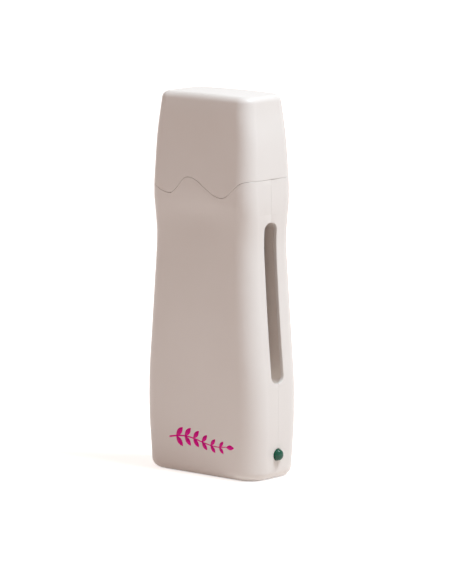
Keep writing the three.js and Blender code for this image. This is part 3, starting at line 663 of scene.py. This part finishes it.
def roundedOutline(halfWidth, halfHeight, radius, middle, steps):
    outline = []
    for quarter, (signU, signV) in enumerate(((1, 1), (-1, 1), (-1, -1), (1, -1))):
        centre = Vector((signU * (halfWidth - radius), signV * (halfHeight - radius)))
        for angle in edgeArc(steps):
            turned = angle + quarter * quarterTurn
            spoke = Vector((math.cos(turned), math.sin(turned)))
            outline.append(middle + centre + radius * spoke)
    return outline


cutting = {
    "shortest": 0.01 * mm,
    "snap": 0.0001 * mm,
    "straight": math.radians(2),
}


def standUp(flat, along):
    if along == "x":
        return Vector((0, flat.x, flat.y))
    return Vector((flat.x, 0, flat.y))


# Cuts along each side of the outline in turn, so the outline has to be convex
def punchOpening(bm, outline, along, chosen):
    cutMark = bm.edges.layers.int.new("cutMark")  # a split edge keeps its mark
    faces = [face for face in bm.faces if chosen(face.calc_center_median())]
    inwards = Vector((1, 0, 0)) if along == "x" else Vector((0, -1, 0))
    for start, end in zip(outline, outline[1:] + outline[:1]):
        if (end - start).length < cutting["shortest"]:
            continue
        point = standUp(start, along)
        outward = (standUp(end, along) - point).cross(inwards).normalized()
        geom = set(faces)
        for face in faces:
            geom.update(face.edges)
            geom.update(face.verts)
        made = bmesh.ops.bisect_plane(
            bm, geom=list(geom), dist=cutting["snap"], plane_co=point, plane_no=outward
        )
        for edge in made["geom_cut"]:
            if isinstance(edge, bmesh.types.BMEdge):
                edge[cutMark] = 1
        found = [item for item in made["geom"] if isinstance(item, bmesh.types.BMFace)]
        faces = [face for face in found if (face.calc_center_median() - point).dot(outward) < 0]
    bmesh.ops.delete(bm, geom=faces, context="FACES")
    spare = [edge for edge in bm.edges if edge[cutMark] and len(edge.link_faces) == 2]
    touched = {vert for edge in spare for vert in edge.verts}
    bmesh.ops.dissolve_edges(bm, edges=spare, use_verts=False)
    loose = []
    for vert in touched:
        if vert.is_valid and len(vert.link_edges) == 2:
            if not vert.is_boundary or vert.calc_edge_angle(full) < cutting["straight"]:
                loose.append(vert)
    bmesh.ops.dissolve_verts(bm, verts=loose)
    bm.edges.layers.int.remove(cutMark)


window = {
    "halfWidth": 4.95 * mm,
    "bottom": 51.9 * mm,
    "top": 137.3 * mm,
    "radius": 4 * mm,
    "arcSteps": 12,
    "lip": 0.4 * mm,
    "innerLip": 0.3 * mm,
    "clear": 1.5 * mm,
    "rowSteps": 18,
    "cutPast": 25 * mm,  # the skin that the slot may cut: beyond this x
    "cutReach": 7 * mm,
    "rimPast": 20 * mm,  # the edges that count as its rim: beyond this x
    "rimReach": 0.2 * mm,
    "rimMargin": 1 * mm,
}
lampHole = {
    "radius": 3.25 * mm,
    "height": 13.5 * mm,
    "arcSteps": 10,
    "cutPast": 30 * mm,
    "cutReach": 8 * mm,
    "cutTop": 22 * mm,
}
inletHole = {
    "halfWidth": 10.5 * mm,
    "halfHeight": 5.4 * mm,
    "radius": 4.8 * mm,
    "height": 13 * mm,
    "arcSteps": 8,
}
rearCut = {"past": 4 * mm, "reach": 12 * mm, "top": 60 * mm}
screwWell = {
    "places": [(-27, 20), (27, 20), (-27, 44.5), (27, 44.5)],  # in mm
    "radius": 3.2 * mm,
    "rim": 4.3 * mm,
    "seat": 8 * mm,
    "seatBack": 6.2 * mm,
    "front": 0.3 * mm,
    "clearance": 0.3 * mm,
    "arcSteps": 8,
    "steps": 40,
}


def shellRows():
    edge = casing["baseEdge"]
    rows = [{"z": 0, "inset": edge, "fold": share} for share in casing["foldShares"]]
    for angle in edgeArc(casing["edgeSteps"]):
        rows.append({"z": edge * (1 - math.cos(angle)), "inset": edge * (1 - math.sin(angle))})
    clear = window["radius"] + window["clear"]
    low, high = window["bottom"] + window["radius"], window["top"] - window["radius"]
    steps = window["rowSteps"]
    beside = [low + (high - low) * step / steps for step in range(steps + 1)]
    heights = [*casing["lowRows"], low - clear, *beside, high + clear, *casing["highRows"]]
    rows += [{"z": height} for height in heights]
    steps = casing["shellWaveSteps"]
    for step in range(steps + 1):
        shift = -wave["gap"] / 2
        rows.append({"z": casing["shellLevel"], "wave": step / steps, "shift": shift})
    return rows


def capRows():
    top = casing["height"] - casing["crown"]
    edge = casing["topEdge"]
    flat = casing["capLevel"]
    reach = top - edge - casing["topMargin"]
    rows = []
    steps = casing["capWaveSteps"]
    for step in range(steps + 1):
        rows.append({"z": flat, "wave": 1 - step / steps, "shift": wave["gap"] / 2})
    steps = casing["capSteps"]
    rows += [{"z": flat + (reach - flat) * step / steps} for step in range(1, steps + 1)]
    for angle in edgeArc(casing["edgeSteps"]):
        z = top - edge * (1 - math.sin(angle))
        inset = edge * (1 - math.cos(angle))
        rows.append({"z": z, "inset": inset, "crown": casing["crown"] * math.sin(angle)})
    for share in reversed(casing["foldShares"]):
        rows.append({"z": top, "inset": edge, "fold": share, "crown": casing["crown"]})
    return rows


def sideWindow(bm, sign):
    middle = Vector((0, (window["bottom"] + window["top"]) / 2))
    halfWidth, halfHeight = window["halfWidth"], (window["top"] - window["bottom"]) / 2
    outline = roundedOutline(halfWidth, halfHeight, window["radius"], middle, window["arcSteps"])

    def nearSlot(centre):
        reach = halfWidth + window["cutReach"]
        return sign * centre.x > window["cutPast"] and abs(centre.y) < reach

    punchOpening(bm, outline, "x", nearSlot)


def lampOpening(bm):
    middle = Vector((0, lampHole["height"]))
    radius = lampHole["radius"]
    outline = roundedOutline(radius, radius, radius, middle, lampHole["arcSteps"])

    def nearLamp(centre):
        beside = centre.x > lampHole["cutPast"] and abs(centre.y) < lampHole["cutReach"]
        return beside and centre.z < lampHole["cutTop"]

    punchOpening(bm, outline, "x", nearLamp)


def rearOpening(bm, halfWidth, halfHeight, radius, middle, steps):
    outline = roundedOutline(halfWidth, halfHeight, radius, middle, steps)

    def nearHole(centre):
        behind = centre.y > rearCut["past"] and centre.z < rearCut["top"]
        return behind and abs(centre.x - middle.x) < halfWidth + rearCut["reach"]

    punchOpening(bm, outline, "y", nearHole)


# Where the seam runs into an opening or the wave, its edges stay sharp
seamEnd = {"outside": 5 * mm, "inside": 2 * mm, "lamp": 7 * mm, "wave": 3 * mm}


def nearSeamEnd(point):
    ends = [
        (window["bottom"] - seamEnd["outside"], window["bottom"] + seamEnd["inside"]),
        (window["top"] - seamEnd["inside"], window["top"] + seamEnd["outside"]),
        (lampHole["height"] - seamEnd["lamp"], lampHole["height"] + seamEnd["lamp"]),
        (wave["high"] - seamEnd["wave"], wave["high"] + seamEnd["wave"]),
    ]
    return any(low < point.z < high for low, high in ends)


def onWindowRim(point):
    low, high = window["bottom"] - window["rimMargin"], window["top"] + window["rimMargin"]
    beside = abs(point.x) > window["rimPast"] and low < point.z < high
    return beside and abs(point.y) < window["halfWidth"] + window["rimReach"]


def weighEdges(mesh):
    weights = mesh.attributes.new("bevel_weight_edge", "FLOAT", "EDGE")
    bm = bmesh.new()
    bm.from_mesh(mesh)
    for index, edge in enumerate(bm.edges):
        if len(edge.link_faces) != 2 or edge.calc_face_angle(0) < casing["bevelAngle"]:
            continue
        middle = (edge.verts[0].co + edge.verts[1].co) / 2
        rounding = casing["plainEdge"]
        if max(abs(vert.co.y) for vert in edge.verts) < casing["seamReach"]:
            rounding = 0 if nearSeamEnd(middle) else casing["seamEdge"]
        elif onWindowRim(middle):
            width = casingSize(max(0, min(casing["height"], middle.z)))[0]
            outside = abs(middle.x) > width - casing["skinDepth"]
            rounding = window["lip"] if outside else window["innerLip"]
        weights.data[index].value = rounding / window["lip"]
    bm.free()


def thickenShell(piece, thickness):
    wall = piece.modifiers.new("wall", "SOLIDIFY")
    wall.thickness = thickness
    wall.offset = -1
    wall.use_even_offset = True
    mesh = settleModifiers(piece)
    weighEdges(mesh)
    roundEdges(piece, window["lip"], casing["bevelSteps"], clamp=False)


def buildFrontShell():
    bm = halfSkin(shellRows(), casing["seamGap"], dished=True)
    for sign in (1, -1):
        sideWindow(bm, sign)
    lampOpening(bm)
    faceOutwards(bm, Vector((0, 0, casing["height"] / 3)))
    piece = makePiece("frontShell", bm, "casing", "casing", ["front_shell"])
    thickenShell(piece, casing["wall"])


def buildRearShell():
    bm = halfSkin(shellRows(), casing["seamGap"])
    bmesh.ops.scale(bm, vec=(1, -1, 1), verts=bm.verts)
    for sign in (1, -1):
        sideWindow(bm, sign)
    lampOpening(bm)
    halfWidth, halfHeight = inletHole["halfWidth"], inletHole["halfHeight"]
    middle = Vector((0, inletHole["height"]))
    rearOpening(bm, halfWidth, halfHeight, inletHole["radius"], middle, inletHole["arcSteps"])
    radius = screwWell["radius"]
    for x, z in screwWell["places"]:
        rearOpening(bm, radius, radius, radius, Vector((x * mm, z * mm)), screwWell["arcSteps"])
    faceOutwards(bm, Vector((0, 0, casing["height"] / 3)))
    piece = makePiece("rearShell", bm, "casing", "casing", ["rear_shell"])
    thickenShell(piece, casing["wall"])


def buildCap():
    bm = halfSkin(capRows(), 0)
    half = bm.verts[:] + bm.edges[:] + bm.faces[:]
    bmesh.ops.mirror(bm, geom=half, axis="Y", merge_dist=casing["capMerge"])
    bmesh.ops.remove_doubles(bm, verts=bm.verts, dist=casing["capMerge"])
    bmesh.ops.recalc_face_normals(bm, faces=bm.faces)
    faceOutwards(bm, Vector((0, 0, wave["high"] + casing["capInside"])))
    piece = makePiece("cap", bm, "casing", "cap", ["cap"])
    thickenShell(piece, casing["capWall"])


buildFrontShell()
buildRearShell()
buildCap()
print("casing built")


# Copies of CAD nodes with rounded edges; the well's tunnels are fitted to the shells
tunnel = {
    "inner": 29.5 * mm,
    "top": 141 * mm,
    "gap": 0.12 * mm,
    "cuts": 6,
    "lowEnd": 56.5 * mm,
    "drop": 2.8 * mm,
    "longEdge": 6 * mm,
}
softening = {
    "flat": math.radians(0.3),
    "steps": 3,
    "angle": 35,
    "wellEdge": 0.35 * mm,
    "inletEdge": 0.4 * mm,
    "pinEdge": 0.3 * mm,
}


def fitTunnels(bm):
    def atMouth(vert):
        return abs(vert.co.x) > tunnel["inner"] and vert.co.z < tunnel["top"]

    mouthEdges = [edge for edge in bm.edges if all(map(atMouth, edge.verts))]
    longEdges = [edge for edge in mouthEdges if edge.calc_length() > tunnel["longEdge"]]
    bmesh.ops.subdivide_edges(bm, edges=longEdges, cuts=tunnel["cuts"])
    for vert in bm.verts:
        if atMouth(vert):
            if vert.co.z < tunnel["lowEnd"]:
                vert.co.z -= tunnel["drop"]
            reach = casingSize(vert.co.z)[0] - casing["wall"] - tunnel["gap"]
            vert.co.x = math.copysign(reach, vert.co.x)


def softenedCopy(nodeName, finish, width, fitted=None):
    bm = bmesh.new()
    bm.from_mesh(nodes[nodeName].data)
    bmesh.ops.remove_doubles(bm, verts=bm.verts, dist=mergeDistance)
    bmesh.ops.dissolve_limit(bm, angle_limit=softening["flat"], verts=bm.verts, edges=bm.edges)
    if fitted:
        fitted(bm)
    piece = makePiece(camelName(nodeName), bm, finish, "casing", [nodeName])
    roundEdges(piece, softening[width], softening["steps"], "ANGLE", softening["angle"])


softenedCopy("cartridge_well", "well", "wellEdge", fitTunnels)
softenedCopy("power_inlet", "blackPlastic", "inletEdge")
for side in ("left", "right"):
    softenedCopy(f"inlet_pin_{side}", "brass", "pinEdge")
print("well and inlet softened")

# Pilot lamp
lens = {
    "radius": 3.1 * mm,
    "rise": 2.85 * mm,
    "fullness": 0.78,
    "flangeRadius": 4 * mm,
    "flange": 1 * mm,
    "bore": 2.1 * mm,
    "boreDepth": 2.6 * mm,
    "steps": 56,
    "domeSteps": 14,
    "edge": 0.15 * mm,
    "edgeSteps": 2,
    "edgeAngle": 50,
}


def spinProfile(profile, steps, turnedTo):
    bm = bmesh.new()
    verts = [bm.verts.new((radius, 0, along)) for radius, along in profile]
    edges = [bm.edges.new(pair) for pair in zip(verts, verts[1:])]
    bmesh.ops.spin(
        bm,
        geom=verts + edges,
        cent=(0, 0, 0),
        axis=(0, 0, 1),
        angle=full,
        steps=steps,
        use_merge=True,
    )
    bmesh.ops.remove_doubles(bm, verts=bm.verts, dist=mergeDistance)
    bmesh.ops.recalc_face_normals(bm, faces=bm.faces)
    bmesh.ops.transform(bm, matrix=turnedTo, verts=bm.verts)
    return bm


def buildLens():
    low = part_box("indicator_lens")[0]
    inner = low.x
    outer = inner + lens["flange"]
    surface = casingSize(lampHole["height"])[0]
    profile = [
        (0, inner + lens["boreDepth"]),
        (lens["bore"], inner + lens["boreDepth"]),
        (lens["bore"], inner),
        (lens["flangeRadius"], inner),
        (lens["flangeRadius"], outer),
        (lens["radius"], outer),
    ]
    for angle in edgeArc(lens["domeSteps"]):
        radius = 0
        if angle < poleAngle:
            radius = lens["radius"] * math.cos(angle) ** lens["fullness"]
        profile.append((radius, surface + lens["rise"] * math.sin(angle) ** lens["fullness"]))
    place = Matrix.Translation((0, 0, lampHole["height"])) @ Matrix.Rotation(quarterTurn, 4, "Y")
    bm = spinProfile(profile, lens["steps"], place)
    piece = makePiece("pilotLens", bm, "greenLens", "casing", ["indicator_lens"])
    roundEdges(piece, lens["edge"], lens["edgeSteps"], "ANGLE", lens["edgeAngle"])


buildLens()
print("pilot lamp built")

# Case screws, with a cross recess, at the bottom of their wells
screw = {
    "shank": 1.5 * mm,
    "head": 2.8 * mm,
    "headHeight": 2 * mm,
    "length": 17 * mm,
    "recess": 1.4 * mm,
    "recessHalf": 0.35 * mm,
    "recessDepth": 1.1 * mm,
    "cutterTop": 1 * mm,
    "tip": 0.6,
    "rim": 0.5,
    "steps": 28,
    "domeSteps": 6,
    "sharpAngle": math.radians(35),
}


def crossCutter(x, z, seat):
    cutter = bmesh.new()
    top = seat + screw["headHeight"] + screw["cutterTop"]
    bottom = seat + screw["headHeight"] - screw["recessDepth"]
    for half in ((screw["recess"], screw["recessHalf"]), (screw["recessHalf"], screw["recess"])):
        made = bmesh.ops.create_cube(cutter, size=1)["verts"]
        bmesh.ops.scale(cutter, vec=(2 * half[0], top - bottom, 2 * half[1]), verts=made)
        bmesh.ops.translate(cutter, vec=(x, (top + bottom) / 2, z), verts=made)
    mesh = bpy.data.meshes.new("crossCutter")
    cutter.to_mesh(mesh)
    cutter.free()
    tool = bpy.data.objects.new("crossCutter", mesh)
    bpy.context.scene.collection.objects.link(tool)
    return tool


def buildCaseScrew(nodeName, x, z):
    head, rim = screw["head"], screw["rim"] * screw["headHeight"]
    dome = screw["headHeight"] - rim
    profile = [
        (0, -screw["length"]),
        (screw["tip"] * screw["shank"], -screw["length"]),
        (screw["shank"], -screw["length"] + screw["shank"]),
        (screw["shank"], 0),
        (head, 0),
        (head, rim),
    ]
    for angle in edgeArc(screw["domeSteps"])[1:]:
        radius = head * math.cos(angle) if angle < poleAngle else 0
        profile.append((radius, rim + dome * math.sin(angle)))
    place = Matrix.Translation((x, screwWell["seat"], z)) @ Matrix.Rotation(-quarterTurn, 4, "X")
    bm = spinProfile(profile, screw["steps"], place)
    piece = makePiece(camelName(nodeName), bm, "zinc", "casing", [nodeName])
    tool = crossCutter(x, z, screwWell["seat"])
    cut = piece.modifiers.new("crossRecess", "BOOLEAN")
    cut.operation = "DIFFERENCE"
    cut.use_self = True
    cut.object = tool
    mesh = settleModifiers(piece)
    bpy.data.objects.remove(tool)
    mesh.set_sharp_from_angle(angle=screw["sharpAngle"])


def buildScrewWell(x, z):
    depth = casingSize(z)[1]
    bore = screw["shank"] + screwWell["clearance"]
    profile = [
        (bore, screwWell["seatBack"]),
        (bore, screwWell["seat"]),
        (screwWell["radius"], screwWell["seat"]),
        (screwWell["radius"], depth - casing["wall"] / 2),
        (screwWell["rim"], depth - casing["wall"]),
        (screwWell["rim"], screwWell["front"]),
        (bore, screwWell["front"]),
        (bore, screwWell["seatBack"]),
    ]
    place = Matrix.Translation((x, 0, z)) @ Matrix.Rotation(-quarterTurn, 4, "X")
    return spinProfile(profile, screwWell["steps"], place)


def buildScrews():
    names = ("lower_left", "lower_right", "upper_left", "upper_right")
    for name, (x, z) in zip(names, screwWell["places"]):
        buildCaseScrew(f"case_screw_{name}", x * mm, z * mm)
        bm = buildScrewWell(x * mm, z * mm)
        bossName = camelName(f"screw_boss_{name}")
        piece = makePiece(bossName, bm, "casing", "casing")
        piece.data.set_sharp_from_angle(angle=screw["sharpAngle"])


buildScrews()
print("case screws built")


# Printed sprig low on the front
sprig = {
    "middle": (0.5 * mm, 19 * mm),
    "halfLength": 20 * mm,
    "sway": 1.6 * mm,
    "swayTurns": 0.9,
    "stem": 0.4 * mm,
    "stemSteps": 40,
    "stemStart": 1.2,
    "stemTaper": 0.6,
    "leaves": 6,
    "firstLeaf": 0.8,
    "spareLeaf": 0.6,
    "leafTaper": 0.45,
    "endLeaf": 0.75,
    "leafLength": 7.4 * mm,
    "leafWidth": 1.7 * mm,
    "leafAngle": math.radians(48),
    "proud": 0.03 * mm,
    "ink": 0.08 * mm,
    "leafSteps": 28,
}


def stemPoint(share):
    u = (2 * share - 1) * sprig["halfLength"]
    return Vector((u, 0, sprig["sway"] * math.sin(full * share * sprig["swayTurns"])))


def addStem(bm):
    bmesh.ops.create_grid(bm, x_segments=sprig["stemSteps"], y_segments=1, size=1)
    for vert in bm.verts:
        share = (vert.co.x + 1) / 2
        width = vert.co.y * sprig["stem"] * (sprig["stemStart"] - sprig["stemTaper"] * share)
        vert.co = stemPoint(share) + Vector((0, 0, width))


def addLeaf(bm, share, side):
    steps = sprig["leafSteps"]
    made = bmesh.ops.create_circle(bm, cap_ends=True, segments=steps, radius=1)["verts"]
    size = 1 - sprig["leafTaper"] * share if side else sprig["endLeaf"]
    for vert in made:
        along = (vert.co.x + 1) / 2 * sprig["leafLength"]
        across = math.copysign(1 - vert.co.x**2, vert.co.y) * sprig["leafWidth"]
        vert.co = Vector((along, 0, across)) * size
    turn = Matrix.Rotation(-side * sprig["leafAngle"], 4, "Y")
    bmesh.ops.transform(bm, matrix=Matrix.Translation(stemPoint(share)) @ turn, verts=made)


def buildSprig():
    bm = bmesh.new()
    addStem(bm)
    for index in range(sprig["leaves"]):
        share = (index + sprig["firstLeaf"]) / (sprig["leaves"] + sprig["spareLeaf"])
        for side in (-1, 1):
            addLeaf(bm, share, side)
    addLeaf(bm, 1, 0)
    middleX, middleZ = sprig["middle"]
    for vert in bm.verts:
        x, z = vert.co.x + middleX, vert.co.z + middleZ
        vert.co = Vector((x, -casingSize(z)[1] - sprig["proud"], z))
    bm.normal_update()
    turned = [face for face in bm.faces if face.normal.y > 0]
    bmesh.ops.reverse_faces(bm, faces=turned)
    piece = makePiece("printedSprig", bm, "magentaInk", "casing")
    ink = piece.modifiers.new("inkLayer", "SOLIDIFY")
    ink.thickness = sprig["ink"]
    ink.offset = -1


buildSprig()
print("sprig printed")


# Floor and light
def seenRays(tree):
    path = addNode(tree, "ShaderNodeLightPath")
    seen = path.outputs["Is Camera Ray"]
    for name in ("Is Glossy Ray", "Is Transmission Ray"):
        either = addNode(tree, "ShaderNodeMath", operation="MAXIMUM")
        tree.links.new(seen, either.inputs[0])
        tree.links.new(path.outputs[name], either.inputs[1])
        seen = either.outputs["Value"]
    return seen


floorLook = {
    "halfSize": 20,
    "drop": 0.05 * mm,
    "colour": (0.9, 0.82, 0.77),
    "rough": 0.9,
    "specular": 0.1,
    "liftNear": 0.72,
    "liftFar": 0.95,
    "nearReach": 0.15,
    "farReach": 1.5,
}
worldLook = {
    "strength": 0.3,
    "colour": (1, 0.733, 0.65),
    "seenStrength": 1,
    "seenColour": (1, 1, 1),
}


def buildFloor():
    bm = bmesh.new()
    bmesh.ops.create_grid(bm, x_segments=1, y_segments=1, size=floorLook["halfSize"])
    bmesh.ops.translate(bm, vec=(0, 0, -floorLook["drop"]), verts=bm.verts)
    mesh = bpy.data.meshes.new("floor")
    bm.to_mesh(mesh)
    bm.free()
    material, tree, shader = newMaterial("paleFloor")
    shader.inputs["Base Color"].default_value = (*floorLook["colour"], 1)
    shader.inputs["Roughness"].default_value = floorLook["rough"]
    shader.inputs["Specular IOR Level"].default_value = floorLook["specular"]
    shader.inputs["Emission Color"].default_value = (1, 1, 1, 1)
    place = addNode(tree, "ShaderNodeTexCoord").outputs["Object"]
    reach = addNode(tree, "ShaderNodeVectorMath", operation="LENGTH")
    tree.links.new(place, reach.inputs[0])
    low, high = floorLook["liftNear"], floorLook["liftFar"]
    near, far = floorLook["nearReach"], floorLook["farReach"]
    lift = spread(tree, reach.outputs["Value"], low, high, near, far)
    shown = addNode(tree, "ShaderNodeMath", operation="MULTIPLY")
    tree.links.new(seenRays(tree), shown.inputs[0])
    tree.links.new(lift, shown.inputs[1])
    tree.links.new(shown.outputs["Value"], shader.inputs["Emission Strength"])
    mesh.materials.append(material)
    floor = bpy.data.objects.new("floor", mesh)
    bpy.context.scene.collection.objects.link(floor)


def buildWorld():
    world = bpy.data.worlds.new("studio")
    bpy.context.scene.world = world
    world.use_nodes = True
    tree = world.node_tree
    background = tree.nodes["Background"]
    seen = seenRays(tree)
    strength = addNode(tree, "ShaderNodeMix", data_type="FLOAT")
    strength.inputs["A"].default_value = worldLook["strength"]
    strength.inputs["B"].default_value = worldLook["seenStrength"]
    tree.links.new(seen, strength.inputs["Factor"])
    tree.links.new(strength.outputs["Result"], background.inputs["Strength"])
    colour = blendColours(tree, seen, worldLook["colour"], worldLook["seenColour"])
    tree.links.new(colour, background.inputs["Color"])


lampAim = Vector((0, 0, 0.1))
lamps = {
    "keyLight": {
        "place": (0.77, 0.19, 1.49),
        "size": 0.5,
        "power": 24.3,
        "colour": (0.774, 0.914, 1),
    },
    "topLight": {
        "place": (0.25, 0.1, 1.6),
        "size": 1,
        "power": 2.5,
        "colour": (1, 0.93, 0.85),
    },
    "frontFill": {
        "place": (-0.9, -1.7, 0.7),
        "size": 1.4,
        "power": 0.8,
        "colour": (1, 0.93, 0.77),
    },
}


def placeLamps():
    for name, look in lamps.items():
        data = bpy.data.lights.new(name, "AREA")
        data.shape = "SQUARE"
        data.size = look["size"]
        data.energy = look["power"]
        data.color = look["colour"]
        lamp = bpy.data.objects.new(name, data)
        lamp.location = look["place"]
        direction = lampAim - lamp.location
        lamp.rotation_euler = direction.to_track_quat("-Z", "Y").to_euler()
        bpy.context.scene.collection.objects.link(lamp)


buildFloor()
buildWorld()
placeLamps()
print("floor and lights placed")
